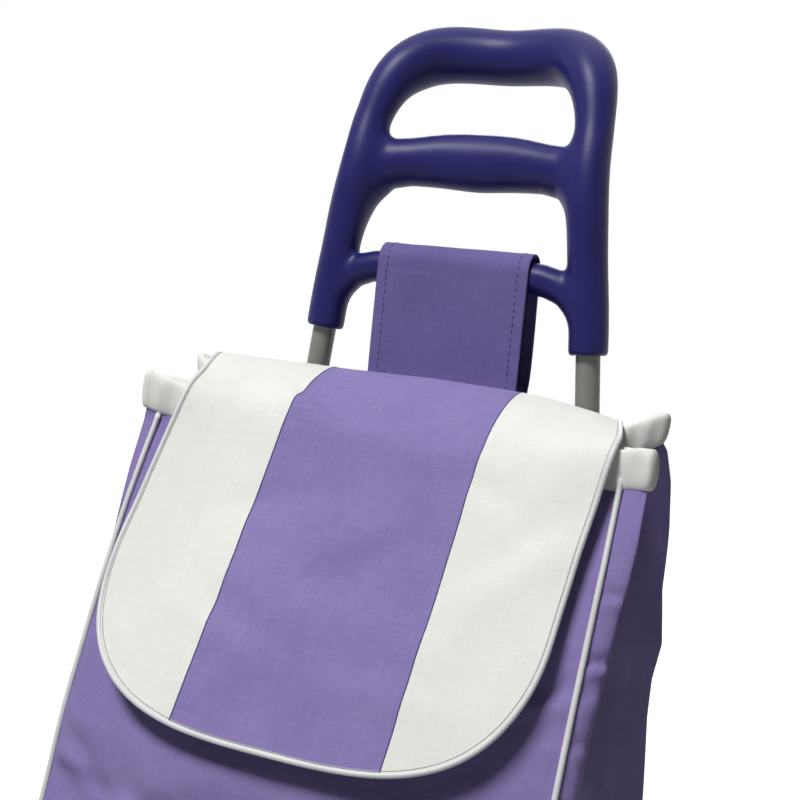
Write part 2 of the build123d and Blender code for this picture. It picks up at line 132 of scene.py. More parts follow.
def gridMesh(name, points, wrapRows=False, wrapCols=False, uv=None, flip=False):
    # a grid of points joined by quads; uv is in metres and has one more row or column where the grid wraps
    rows, cols = points.shape[:2]
    faces = gridFaces(rows, cols, wrapRows, wrapCols)
    loopUv = None
    if uv is not None:
        corners = gridFaces(rows + wrapRows, cols + wrapCols)
        loopUv = uv.reshape(-1, 2)[corners]
    if flip:
        faces = faces[:, ::-1]
        loopUv = None if loopUv is None else loopUv[:, ::-1]
    return meshObject(name, toRow(points.reshape(-1, 3)), faces, loopUv)


def tubePoints(path, radius, around, reference, capRings=5):
    # circles square to the path, their start turned by a fixed reference direction, ends rounded shut
    step = unit(np.gradient(path, axis=0))
    side = unit(np.cross(step, reference))
    rise = np.cross(side, step)
    quarter = np.linspace(0, math.pi / 2, capRings)[:, None]
    share = np.sin(quarter)
    ahead = np.cos(quarter) * radius
    line = np.concatenate([path[0] - step[0] * ahead, path, path[-1] + step[-1] * ahead[::-1]])
    size = np.concatenate([share, np.ones((len(path), 1)), share[::-1]]) * radius
    ends = np.r_[np.zeros(capRings, int), np.arange(len(path)), np.full(capRings, len(path) - 1)]
    turn = np.linspace(0, 2 * math.pi, around, endpoint=False)[None, :, None]
    ring = np.cos(turn) * side[ends][:, None] + np.sin(turn) * rise[ends][:, None]
    return line[:, None] + np.maximum(size, 0.02)[:, None] * ring


def tubeMesh(name, path, radius, around, reference):
    return gridMesh(name, tubePoints(path, radius, around, np.asarray(reference, float)), wrapCols=True)


stitch = {"length": 3.0, "gap": 1.6, "thick": 0.42, "flat": 0.7, "rings": 5, "sides": 6}


def stitchMesh(name, path, normal):
    # thread dashes laid along a path on a surface, each a flattened bead along its piece of the path
    run = runAlong(path)
    starts = np.arange(1.0, run[-1] - stitch["length"], stitch["length"] + stitch["gap"])
    along = np.linspace(0, 1, stitch["rings"])
    s = starts[:, None] + along[None] * stitch["length"]
    centre = readRows(s, run, path)
    up = unit(readRows(s, run, normal))
    side = np.cross(unit(np.gradient(centre, axis=1)), up)
    size = stitch["thick"] * np.sqrt(np.clip(1 - (2 * along - 1) ** 4, 0.02, 1))[None, :, None, None]
    turn = np.linspace(0, 2 * math.pi, stitch["sides"], endpoint=False)[None, None, :, None]
    ring = np.cos(turn) * side[:, :, None] + np.sin(turn) * up[:, :, None] * stitch["flat"]
    rings = centre[:, :, None] + size * ring
    quads = gridFaces(stitch["rings"], stitch["sides"], wrapCols=True)
    faces = quads[None] + (np.arange(len(starts)) * stitch["rings"] * stitch["sides"])[:, None, None]
    return meshObject(name, toRow(rings.reshape(-1, 3)), faces.reshape(-1, 4))


# materials
def newMaterial(name):
    material = bpy.data.materials.new(name)
    material.use_nodes = True
    tree = material.node_tree
    return material, tree.nodes, tree.links, tree.nodes["Principled BSDF"]


def setInputs(node, values):
    for socket, value in values.items():
        node.inputs[socket].default_value = value


def colourRamp(tree, links, fac, stops, shader):
    # the shader's colour between two stops
    ramp = tree.new("ShaderNodeValToRGB")
    for element, (position, colour) in zip(ramp.color_ramp.elements, stops):
        element.position = position
        element.color = (*colour, 1)
    links.new(fac, ramp.inputs["Fac"])
    links.new(ramp.outputs["Color"], shader.inputs["Base Color"])


def noiseNode(tree, links, coords, scale, detail):
    noise = tree.new("ShaderNodeTexNoise")
    setInputs(noise, {"Scale": scale, "Detail": detail})
    links.new(coords, noise.inputs["Vector"])
    return noise.outputs["Fac"]


def addBump(tree, links, height, strength, shader):
    bump = tree.new("ShaderNodeBump")
    setInputs(bump, {"Strength": strength, "Distance": 0.0005})
    links.new(height, bump.inputs["Height"])
    links.new(bump.outputs["Normal"], shader.inputs["Normal"])


weaveLook = {
    "thread": 1300.0, "waver": 0.8, "slub": 420.0, "slubLong": 60.0, "drift": 16.0, "pucker": 95.0,
    "slubTone": 0.55, "weaveTone": 0.2, "toneScale": 0.62, "darkAt": 0.42, "lightAt": 0.92,
    "slubHigh": 0.5, "puckerHigh": 1.6, "roughness": 0.82, "sheenRoughness": 0.45, "specular": 0.12,
}


def clothMaterial(name, dark, light, bump=0.4, sheen=0.08):
    # plain weave on the piece's own map: two crossed waves one thread apart, slubs stretched along both
    # thread directions, tint drifting over a few centimetres and small soft puckers
    material, tree, links, shader = newMaterial(name)
    coords = tree.new("ShaderNodeTexCoord")
    drift = noiseNode(tree, links, coords.outputs["Object"], weaveLook["drift"], 4.0)
    pucker = noiseNode(tree, links, coords.outputs["Object"], weaveLook["pucker"], 3.0)
    waves, slubs = [], []
    short, long = weaveLook["slub"], weaveLook["slubLong"]
    for direction, stretch in (("X", (short, long, 1.0)), ("Y", (long, short, 1.0))):
        wave = tree.new("ShaderNodeTexWave")
        wave.bands_direction = direction
        setInputs(wave, {"Scale": weaveLook["thread"] * 2 * math.pi / 20, "Distortion": weaveLook["waver"]})
        links.new(coords.outputs["UV"], wave.inputs["Vector"])
        scaled = tree.new("ShaderNodeMapping")
        scaled.inputs["Scale"].default_value = stretch
        links.new(coords.outputs["UV"], scaled.inputs["Vector"])
        waves.append(wave.outputs["Fac"])
        slubs.append(noiseNode(tree, links, scaled.outputs["Vector"], 1.0, 2.0))

    def combine(operation, first, second, third=None):
        node = tree.new("ShaderNodeMath")
        node.operation = operation
        for socket, value in zip(node.inputs, (first, second, third)):
            if isinstance(value, (int, float)):
                socket.default_value = value
            elif value is not None:
                links.new(value, socket)
        return node.outputs[0]

    weave = combine("MULTIPLY", *waves)
    slub = combine("ADD", *slubs)
    woven = combine("MULTIPLY_ADD", weave, weaveLook["weaveTone"], drift)
    tone = combine("MULTIPLY_ADD", slub, weaveLook["slubTone"], woven)
    stops = [(weaveLook["darkAt"], dark), (weaveLook["lightAt"], light)]
    colourRamp(tree, links, combine("MULTIPLY", tone, weaveLook["toneScale"]), stops, shader)
    raised = combine("MULTIPLY_ADD", pucker, weaveLook["puckerHigh"], weave)
    addBump(tree, links, combine("MULTIPLY_ADD", slub, weaveLook["slubHigh"], raised), bump, shader)
    setInputs(shader, {
        "Roughness": weaveLook["roughness"], "Specular IOR Level": weaveLook["specular"],
        "Sheen Weight": sheen, "Sheen Roughness": weaveLook["sheenRoughness"],
    })
    return material


def mouldedMaterial(name, dark, light, roughness, grain=700.0, bump=0.05, metallic=0.0, specular=0.5):
    # moulded or painted skin: fine pitted grain, gloss that drifts slowly, tint between two close colours
    material, tree, links, shader = newMaterial(name)
    coords = tree.new("ShaderNodeTexCoord")
    drift = noiseNode(tree, links, coords.outputs["Object"], 25.0, 3.0)
    pits = noiseNode(tree, links, coords.outputs["Object"], grain, 3.0)
    colourRamp(tree, links, drift, [(0.3, dark), (0.75, light)], shader)
    gloss = tree.new("ShaderNodeMapRange")
    setInputs(gloss, {"To Min": roughness - 0.06, "To Max": roughness + 0.08})
    links.new(drift, gloss.inputs["Value"])
    links.new(gloss.outputs["Result"], shader.inputs["Roughness"])
    addBump(tree, links, pits, bump, shader)
    setInputs(shader, {"Metallic": metallic, "Specular IOR Level": specular})
    return material


def dress(obj, material):
    obj.data.materials.clear()
    obj.data.materials.append(material)
    return obj


purpleCloth = clothMaterial("purpleCloth", (0.225, 0.175, 0.42), (0.315, 0.25, 0.53))
strapCloth = clothMaterial("strapCloth", (0.13, 0.104, 0.288), (0.19, 0.153, 0.385))
liningCloth = clothMaterial("liningCloth", (0.13, 0.105, 0.26), (0.18, 0.145, 0.34))
whiteCloth = clothMaterial("whiteCloth", (0.78, 0.795, 0.74), (0.90, 0.91, 0.865), bump=0.26, sheen=0.1)
pipingVinyl = mouldedMaterial("pipingVinyl", (0.66, 0.67, 0.66), (0.78, 0.79, 0.78), 0.42)
purpleThread = mouldedMaterial("purpleThread", (0.045, 0.03, 0.14), (0.07, 0.045, 0.19), 0.6)
# grey line inside the flap's edge cord: partly the seam itself, mostly painted shade of the groove between
# cord and cloth
seamGrooveShade = mouldedMaterial("seamGrooveShade", (0.36, 0.36, 0.33), (0.46, 0.46, 0.43), 0.6)
gripPlastic = mouldedMaterial(
    "gripPlastic", (0.012, 0.0113, 0.108), (0.0172, 0.0162, 0.134), 0.38, 1100.0, 0.08, specular=0.2)
framePaint = mouldedMaterial("framePaint", (0.20, 0.20, 0.18), (0.25, 0.25, 0.23), 0.38, 500.0, 0.05)
zincSteel = mouldedMaterial("zincSteel", (0.50, 0.50, 0.51), (0.62, 0.62, 0.63), 0.32, 900.0, 0.04, 1.0)
blackPlastic = mouldedMaterial("blackPlastic", (0.016, 0.016, 0.018), (0.028, 0.028, 0.03), 0.5, 800.0, 0.12)
rimPlastic = mouldedMaterial("rimPlastic", (0.42, 0.42, 0.43), (0.52, 0.52, 0.53), 0.42, 700.0, 0.08)
tyreRubber = mouldedMaterial("tyreRubber", (0.014, 0.014, 0.014), (0.028, 0.028, 0.028), 0.72, 600.0, 0.25)
boardSheet = mouldedMaterial("boardSheet", (0.03, 0.03, 0.03), (0.05, 0.05, 0.05), 0.7, 400.0, 0.2)
nodeFinish = {
    framePaint: ["left_upright", "right_upright", "lower_brace", "upper_brace", "base_loop"],
    zincSteel: ["handle_screws", "brace_rivets", "axle", "axle_washers", "axle_push_nuts", "saddle_screws"],
    blackPlastic: ["left_axle_bracket", "right_axle_bracket", "base_plate", "base_saddles", "left_front_leg",
                   "right_front_leg", "left_hub_cap", "right_hub_cap", "left_wheel_bush", "right_wheel_bush"],
    rimPlastic: ["left_wheel_rim", "right_wheel_rim"],
    tyreRubber: ["left_tyre", "right_tyre", "left_foot_pad", "right_foot_pad"],
    boardSheet: ["bag_floor_board"],
}
for finish, names in nodeFinish.items():
    for nodeName in names:
        dress(nodes[nodeName], finish)
print("materials ready")


# grip
grip = {
    "rimHalf": 96.0, "flare": 5.5, "reach": 36.0, "join": 9.2, "hangerJoin": 5.0, "rimRound": 2.4,
    "middleDeep": 15.0, "middleThin": 2.5, "thinFrom": 50.0, "thinOver": 38.0, "middleEnd": 86.0,
    "hangerDeep": 10.5, "hangerEnd": 90.0, "bore": 8.3, "boreTop": 40.0, "samples": 360,
    "voxel": 1.7, "quickVoxel": 3.0, "low": (-114, -20, -4), "high": (114, 80, 226),
}
flareTan = math.tan(math.radians(grip["flare"]))
# half of the loop from a sleeve's rim to the middle of the top bar: x, y, z and radius
halfLoop = np.array([
    (96.0, 0.0, 0.0, 13.0), (92.9, 0.0, 32.0, 13.0), (89.0, 0.0, 60.0, 13.2), (86.2, 0.4, 84.0, 13.4),
    (82.7, 3.6, 113.0, 13.4), (80.4, 11.4, 144.0, 12.8), (77.0, 18.0, 163.0, 14.2), (71.0, 26.0, 178.5, 16.6),
    (63.2, 35.0, 188.6, 18.6), (53.0, 43.5, 195.4, 19.5), (30.0, 53.0, 199.2, 19.5), (0.0, 57.0, 198.6, 19.1),
])


def splineThrough(knots, count):
    # natural cubic spline by chord length: the second slopes solve one linear system
    run = runAlong(knots[:, :3])
    gap = np.diff(run)
    inner = np.arange(1, len(run) - 1)
    system = np.eye(len(run))
    system[inner, inner - 1] = gap[:-1]
    system[inner, inner] = 2 * (gap[:-1] + gap[1:])
    system[inner, inner + 1] = gap[1:]
    right = np.zeros_like(knots)
    right[1:-1] = 6 * np.diff(np.diff(knots, axis=0) / gap[:, None], axis=0)
    bend = np.linalg.solve(system, right)
    s = np.linspace(0, run[-1], count)
    k = np.clip(np.searchsorted(run, s) - 1, 0, len(gap) - 1)
    after = (run[k + 1] - s)[:, None]
    before = (s - run[k])[:, None]
    wide = gap[k][:, None]
    curved = (bend[k] * after ** 3 + bend[k + 1] * before ** 3) / (6 * wide)
    fromStart = (knots[k] / wide - bend[k] * wide / 6) * after
    fromEnd = (knots[k + 1] / wide - bend[k + 1] * wide / 6) * before
    return curved + fromStart + fromEnd


def blendMin(a, b, k):
    h = np.clip(0.5 + 0.5 * (b - a) / k, 0, 1)
    return b + (a - b) * h - k * h * (1 - h)


loopPath = splineThrough(np.concatenate([halfLoop * [-1, 1, 1, 1], halfLoop[-2::-1]]), grip["samples"])
loopLine, loopSize = loopPath[:, :3], loopPath[:, 3]
# the middle bar and the bar under the strap, from the middle of each out to the posts
midX = np.array([0, 12, 25, 36, 48, 61, 71, 80])
midZ = np.array([120.7, 120.9, 120.9, 120.3, 119.2, 117.0, 111.0, 103.0])
midHalf = np.array([19.7, 19.4, 18.6, 17.7, 16.7, 17.4, 23.5, 32.0])
midY = np.array([20.0, 19.8, 19.1, 18.0, 16.4, 13.5, 10.3, 7.0])
hangX = np.array([0, 30, 62, 72, 82, 90])
hangZ = np.array([50.0, 49.2, 45.2, 42.0, 35.5, 31.0])
hangHalf = np.array([10.5, 10.5, 10.9, 11.6, 15.5, 19.0])


def ovalBar(p, y, z, deep, high, end):
    oval = np.sqrt(((p[:, 1] - y) / deep) ** 2 + ((p[:, 2] - z) / high) ** 2)
    return np.maximum((oval - 1) * np.minimum(deep, high), np.abs(p[:, 0]) - end)


def gripField(p):
    # signed distance: the loop as a chain of round segments, the two bars as ovals along x, all blended;
    # the tubes' bores and what lies below the rims are cut out
    field = np.full(len(p), grip["reach"])
    for a, b, ra, rb in zip(loopLine[:-1], loopLine[1:], loopSize[:-1], loopSize[1:]):
        near = np.flatnonzero((np.abs(p - a) < grip["reach"]).all(1))  # each segment counts only close by
        ab = b - a
        away = p[near] - a
        t = np.clip(away @ ab / (ab @ ab), 0, 1)
        apart = np.linalg.norm(away - t[:, None] * ab, axis=1) - ra - (rb - ra) * t
        field[near] = np.minimum(field[near], apart)
    ax = np.abs(p[:, 0])
    deep = grip["middleDeep"] - grip["middleThin"] * np.clip((ax - grip["thinFrom"]) / grip["thinOver"], 0, 1)
    midPlace = [np.interp(ax, midX, table) for table in (midY, midZ)]
    middle = ovalBar(p, *midPlace, deep, np.interp(ax, midX, midHalf), grip["middleEnd"])
    hangSize = np.interp(ax, hangX, hangHalf)
    hanger = ovalBar(p, 0, np.interp(ax, hangX, hangZ), grip["hangerDeep"], hangSize, grip["hangerEnd"])
    field = blendMin(field, middle, grip["join"])
    field = blendMin(field, hanger, grip["hangerJoin"])
    axisX = grip["rimHalf"] - p[:, 2] * flareTan
    bore = np.maximum(np.hypot(ax - axisX, p[:, 1]) - grip["bore"], p[:, 2] - grip["boreTop"])
    floorCut = -(p[:, 2] - (ax - axisX) * flareTan)
    return np.maximum(-blendMin(-field, -floorCut, grip["rimRound"]), -bore)


def surfaceNet(field, low, high, step):
    # dual grid of a field: one point in each cell that the surface crosses, one quad across each crossed edge
    axes = [np.arange(l, h + step, step) for l, h in zip(low, high)]
    shape = tuple(len(a) for a in axes)
    grid = np.stack(np.meshgrid(*axes, indexing="ij"), -1).reshape(-1, 3)
    value = field(grid).reshape(shape)
    inside = value < 0
    cells = tuple(n - 1 for n in shape)
    total = np.zeros((*cells, 3))
    count = np.zeros(cells)

    def cellCorner(start):
        return value[tuple(slice(s, s + n) for s, n in zip(start, cells))]

    for axis in range(3):
        for first in (0, 1):
            for second in (0, 1):
                start = np.insert(np.array([first, second]), axis, 0)
                end = start.copy()
                end[axis] = 1
                va, vb = cellCorner(start), cellCorner(end)
                cross = (va < 0) != (vb < 0)
                t = np.where(cross, va / np.where(cross, va - vb, 1), 0)
                place = np.broadcast_to(start.astype(float), (*cells, 3)).copy()
                place[..., axis] += t
                total += place * cross[..., None]
                count += cross
    used = count > 0
    index = np.full(cells, -1)
    index[used] = np.arange(used.sum())
    where = np.argwhere(used)
    verts = np.asarray(low) + (where + total[used] / count[used][:, None]) * step
    quads = []
    for axis in range(3):
        b, c = (axis + 1) % 3, (axis + 2) % 3
        cut = [slice(None)] * 3
        cut[axis] = slice(None, -1)
        nxt = list(cut)
        nxt[axis] = slice(1, None)
        here, there = inside[tuple(cut)], inside[tuple(nxt)]
        edge = np.argwhere(here != there)
        edge = edge[(edge[:, b] > 0) & (edge[:, c] > 0) & (edge[:, b] < cells[b]) & (edge[:, c] < cells[c])]
        stepB, stepC = np.eye(3, dtype=int)[b], np.eye(3, dtype=int)[c]
        ring = np.stack([index[tuple((edge - o).T)] for o in (stepB + stepC, stepC, 0 * stepC, stepB)], 1)
        outward = here[tuple(edge.T)]
        quads.append(np.where(outward[:, None], ring, ring[:, ::-1]))
    probe = 0.2
    for _ in range(3):  # settle each point onto the surface
        f = field(verts)
        slope = np.stack([(field(verts + d) - field(verts - d)) / (2 * probe) for d in np.eye(3) * probe], 1)
        move = slope * (f / np.maximum((slope ** 2).sum(1), 0.2))[:, None]
        verts = verts - np.clip(move, -step, step)
    faces = np.concatenate(quads)
    share = np.bincount(faces.ravel(), minlength=len(verts))[:, None] * 2.0
    for _ in range(4):  # even out each point with its neighbours
        total = np.zeros_like(verts)
        for k in range(4):
            np.add.at(total, faces[:, k], verts[faces[:, (k + 1) % 4]] + verts[faces[:, k - 1]])
        verts = 0.5 * (verts + total / share)
    return verts, faces


gripStep = grip["voxel"]
gripVerts, gripFaces = surfaceNet(gripField, grip["low"], grip["high"], gripStep)
gripObj = dress(meshObject("grip_moulding", toRow(gripVerts), gripFaces), gripPlastic)
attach(gripObj, "frame")
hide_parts("handle")
print("grip", len(gripFaces), "faces")


# bag
bag = {
    "bottom": -602.5, "rearY": -17.0, "around": 440, "levels": 205, "wall": 4.0,
    "cornerRound": 5.0, "cornerTop": -56.0, "leftRaise": 6.0, "frontTop": -71.0, "sideDip": 11.0,
    "frontLong": 335.0, "sideLong": 165.0, "turnRun": 250.0, "swell": 0.85, "turnFrom": 154.0,
    "turnPower": 1.4, "gather": 1.3, "slack": 3.2, "crumple": 0.7, "edgeCalm": 32.0, "cordCalm": 5.0,
    "flapCalm": 0.75, "hemHalf": 8.0, "bottomRings": 13,
}
# the bag's section at a few heights: depth of its front corners, swell of the front, half width,
# depth of the rear corners, inward fold of the sides, how far the front's edges turn back;
# then the rear's half width and the height of the rear hem from its middle out to a corner
levelZ = np.array([-603, -560, -500, -430, -360, -305, -250, -202, -150, -120, -100, -70, -44, -30])
cornerY = np.array([-208, -213, -214, -210, -201, -188, -174, -157, -136, -124, -115.5, -103, -100.5, -99.5])
frontBulge = np.array([4, 9, 14, 18, 22, 23, 21, 16, 8, 2, -4, -14, -16, -16])
halfWide = np.array([164, 166.5, 168, 168, 167.5, 167, 166.5, 167, 170, 172.5, 173.5, 173, 172, 172])
rearCorner = np.array([-18, -18, -18, -18, -18, -18, -18, -18.5, -19, -20.5, -23, -34, -48, -50])
sideFold = np.array([0, -3, -3, 2, 8, 13, 19, 25, 33, 39, 44, 50, 53, 54])
edgeTurn = np.array([3, 4, 5, 5.5, 5.5, 5.5, 5.5, 5.5, 4.5, 3.5, 2, 0, 0, 0])
rearLevel = np.array([-603, -560, -430, -305, -269, -219, -195, -172, -138, -110, -70, -50, -44, -30])
rearHalf = np.array([163, 166, 168.5, 170, 170.5, 167.5, 168, 172, 168.5, 169.5, 170, 168, 164, 163.5])
rearShare = np.array([0, 0.3, 0.5, 0.65, 0.8, 0.88, 0.94, 1])
rearTop = np.array([-40, -41, -45, -50, -51, -46, -39, -35])


def atLevel(table, z):
    return np.interp(z, levelZ, table)


def bagPoint(u, z):
    # one turn of the bag at height z, u from 0 to 4: rear, right side, front and left side, one unit each;
    # the rear bows to its forward corners, the sides fold inward to a crease,
    # the front swells in a rounded bow and turns back at its edges
    corner, bulge, wide = atLevel(cornerY, z), atLevel(frontBulge, z), atLevel(halfWide, z)
    rear, fold, turned = atLevel(rearCorner, z), atLevel(sideFold, z), atLevel(edgeTurn, z)
    rearWide = np.interp(z, rearLevel, rearHalf)
    t = u % 1.0
    side = (u // 1.0).astype(int) % 4
    sides = [side == 0, side == 1, side == 2]
    across = 2 * t - 1
    tuck = fold * (1 - np.abs(across))
    sideHalf = rearWide + (wide - rearWide) * np.where(side == 1, t, 1 - t)
    x = np.select(sides, [rearWide * across, sideHalf - tuck, -wide * across], tuck - sideHalf)
    beyond = np.clip((np.abs(across) * wide - bag["turnFrom"]) / (wide - bag["turnFrom"]), 0, 1)
    front = corner - bulge * (1 - across ** 2) ** bag["swell"] + turned * beyond ** bag["turnPower"]
    edge = corner + turned
    bow = bag["rearY"] + (rear - bag["rearY"]) * np.abs(across) ** 3
    y = np.select(sides, [bow, rear + (edge - rear) * t, front], edge + (rear - edge) * t)
    return np.stack(np.broadcast_arrays(x, y, z + 0 * u), -1)


def bagFront(x, z):
    # depth of the bag's front at x and z, without its creases and turned edges
    bow = np.clip(1 - (x / atLevel(halfWide, z)) ** 2, 0, 1) ** bag["swell"]
    return atLevel(cornerY, z) - atLevel(frontBulge, z) * bow


def roundLoop(loop, soften):
    # bell-curve average round each closed level, done by its spectrum
    rows = loop.shape[1]
    length = np.linalg.norm(np.roll(loop, -1, 1) - loop, axis=2).sum(1).mean()
    wave = np.fft.fftfreq(rows) * rows / length
    bell = np.exp(-2 * (math.pi * wave * soften) ** 2)[None, :, None]
    return np.real(np.fft.ifft(np.fft.fft(loop, axis=1) * bell, axis=1))


def evenTurn(count):
    # turn positions spaced by the real lengths of the four sides
    sideShare = np.array([bag["frontLong"], bag["sideLong"]] * 2)
    ends = np.r_[0, np.cumsum(sideShare)] / sideShare.sum()
    return np.interp(np.arange(count) / count, ends, np.arange(5))


def mouthHeight(u):
    # middle of the hem: pressed down beside the rear corners, which stand up, falling along the sides,
    # sagging in front
    t = u % 1.0
    side = (u // 1.0).astype(int) % 4
    arch = 1 - (2 * t - 1) ** 2
    rear = np.interp(np.abs(2 * t - 1), rearShare, rearTop)
    corner = bag["cornerTop"] + bag["leftRaise"] * np.where(side == 2, t, side == 3)
    slope = rearTop[-1] + (corner - rearTop[-1]) * np.where(side == 1, t, 1 - t) - bag["sideDip"] * arch
    front = corner + (bag["frontTop"] - corner) * arch
    return np.select([side == 0, side == 2], [rear, front], slope)


turnU = evenTurn(bag["around"])
turnSide = (turnU // 1.0).astype(int)


def creases(run, z, places):
    # each crease is a soft furrow with a ridge beside it:
    # place along the turn, height, slant, length, width, depth
    total = np.zeros(np.broadcast(run, z).shape)
    for along, height, slant, length, width, depth in places:
        a = (run - along) * math.cos(slant) + (z - height) * math.sin(slant)
        b = (z - height) * math.cos(slant) - (run - along) * math.sin(slant)
        total = total + depth * (b / width) * np.exp(0.5 - 0.5 * (b / width) ** 2 - (a / length) ** 2)
    return total


creaseRng = np.random.default_rng(7)
creaseGroup = 16


def looseCreases(middle):
    # a group of small creases about one upright line of the bag, on its lower part
    return np.stack([
        creaseRng.normal(middle, 26, creaseGroup),
        creaseRng.uniform(-590, -240, creaseGroup),
        creaseRng.normal(0, 0.45, creaseGroup),
        creaseRng.uniform(18, 46, creaseGroup),
        creaseRng.uniform(5, 10, creaseGroup),
        creaseRng.uniform(1.0, 2.5, creaseGroup) * creaseRng.choice([-1, 1], creaseGroup),
    ], 1)


setCreases = np.array([
    (728, -272, 0.8, 26, 6, -2.8), (704, -300, -0.7, 34, 7, 2.4), (735, -330, 0.3, 26, 6, -2.2),
    (504, -163, 0.0, 8, 2.8, -2.6), (505, -128, 0.0, 7, 2.8, -1.4), (520, -182, -0.2, 20, 5, -1.8),
    (506, -205, 0.1, 10, 3.4, -1.2), (470, -150, 0.8, 26, 6, 2.4), (452, -118, -0.6, 24, 6, -2.4),
    (440, -190, 0.9, 34, 7, 2.6), (560, -330, 0.4, 60, 12, 2.4), (640, -420, -0.3, 70, 14, 2.6),
    (398, -96, 0.5, 26, 6, 2.6), (402, -170, -0.9, 30, 7, 3.0), (590, -300, 0.2, 60, 9, 2.2),
    (660, -285, -0.25, 50, 8, -2.2),
])
creasePlaces = np.concatenate([*(looseCreases(middle) for middle in (385, 500, 745, 860)), setCreases])


def cordLine(sign, z):
    # how far from the middle the piping on the front lies at height z, a little further out on the left
    left = np.interp(z, [-600, -290, -146, -96, -70], [-161, -163, -162, -161, -159.5])
    right = np.interp(z, [-600, -230, -118, -70], [155.5, 155.5, 155, 153.5])
    return np.where(sign < 0, left, right)


def bagSurface():
    # levels from the base to the mouth, pushed along the normal by gathers under the hem, slack folds and
    # fine creases; calm beside the upright edges and the piping, and where the flap lies on the front
    v = np.linspace(0, 1, bag["levels"])[:, None]
    top = mouthHeight(turnU)[None]
    z = bag["bottom"] + (top - bag["bottom"]) * v
    loop = roundLoop(bagPoint(turnU[None] + 0 * z, z), bag["cornerRound"])
    loop[..., 2] = z
    out = unit(np.cross(np.gradient(loop, axis=0), np.gradient(loop, axis=1)))
    run = turnU[None] * bag["turnRun"] + 0 * z
    gather = ripple(run * 3.2, z * 0.35, 5, 95) * bag["gather"] * np.exp((z - top) / 45)
    slack = ripple(run, z * 1.6, 11, 210) * bag["slack"] * np.sin(math.pi * np.clip(v, 0, 1)) ** 0.7
    crumple = ripple(run * 1.5, z * 1.2, 23, 80) * bag["crumple"] * (1 - v * 0.5)
    amount = np.select([turnSide == 0, turnSide == 2], [0.3, 1.0], 1.2)[None]
    covered = np.where((turnSide == 2)[None], 1 - bag["flapCalm"] * np.clip((z + 270) / 40, 0, 1), 1.0)
    fade = np.clip(v / 0.03, 0, 1)
    furrows = creases(run, z, creasePlaces) * np.clip((1 - v) / 0.08, 0, 1)
    fromCord = loop[..., 0] - cordLine(np.sign(loop[..., 0]), z)
    beside = np.exp(-(fromCord / bag["cordCalm"]) ** 2) * (turnSide == 2)[None]
    toEdge = np.abs(turnU - np.round(turnU)) * np.where(turnSide % 2 == 1, bag["sideLong"], bag["frontLong"])
    soft = (gather + slack + crumple) * amount * covered * np.clip(toEdge / bag["edgeCalm"], 0, 1)
    push = (soft + furrows) * fade * (1 - 0.9 * beside)
    # the lining keeps below every furrow near it and comes close to the cloth at the four edges and the mouth
    low = np.minimum.reduce([np.roll(push, (a, b), (0, 1)) for a in range(-3, 4) for b in range(-3, 4)])
    wall = np.clip(np.minimum(0.2 * toEdge[None], (top - z - bag["hemHalf"]) / 6), 0.3, bag["wall"])
    return loop + out * push[..., None], loop + out * (low - wall)[..., None], out


bagSkin, liningSkin, bagOut = bagSurface()
shrink = np.linspace(0.02, 1, bag["bottomRings"] + 1)[:-1, None, None]
centre = bagSkin[0].mean(0)
floorRows = centre + (bagSkin[0] - centre) * shrink
bagPoints = np.concatenate([floorRows, bagSkin])
runU = runRound(bagSkin[60]) * 0.001
runV = runAlong(bagPoints[:, 0]) * 0.001
bagUv = np.stack(np.broadcast_arrays(runU[None], runV[:, None]), -1)
bagObj = dress(gridMesh("bag_body", bagPoints, wrapCols=True, uv=bagUv), purpleCloth)
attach(bagObj, "frame")
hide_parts("bag_front_panel", "bag_rear_panel", "left_bag_gusset", "right_bag_gusset",
            "bag_bottom_panel")
liningPoints = liningSkin[::4, ::4]
liningCentre = centre + [0, 0, bag["wall"]]
liningPoints = np.concatenate([liningCentre + (liningPoints[0] - liningCentre) * shrink, liningPoints])
liningU = np.linspace(0, runU[-1], liningPoints.shape[1] + 1)
liningV = np.linspace(0, runV[-1], len(liningPoints))
liningUv = np.stack(np.broadcast_arrays(liningU[None], liningV[:, None]), -1)
liningObj = dress(gridMesh("bag_lining", liningPoints, wrapCols=True, uv=liningUv, flip=True), liningCloth)
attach(liningObj, "frame")
print("bag", bagPoints.shape)

# hem
hem = {
    "halfHigh": 12.2, "halfThick": 4.0, "section": 28, "around": 620, "round": 3.5, "tilt": 0.12,
    "puckerThick": 0.8, "puckerHigh": 0.4, "earLow": 0.2, "earReach": 0.16,
}
hemU = evenTurn(hem["around"])
hemLine = roundLoop(bagPoint(hemU, mouthHeight(hemU))[None], hem["round"])[0]
hemStep = unit(np.roll(hemLine, -1, 0) - np.roll(hemLine, 1, 0))
hemOut = unit(np.cross(hemStep, [0, 0, 1.0]))
hemRun = runAlong(hemLine)
# puckers: waves round the mouth, start, turns with the section and size
hemWaves = [(41, 0.3, 1, 0.5), (57, 1.9, -1, 0.45), (73, 4.0, 2, 0.35), (23, 2.2, 1, 0.6), (9, 0.6, 0, 0.6)]


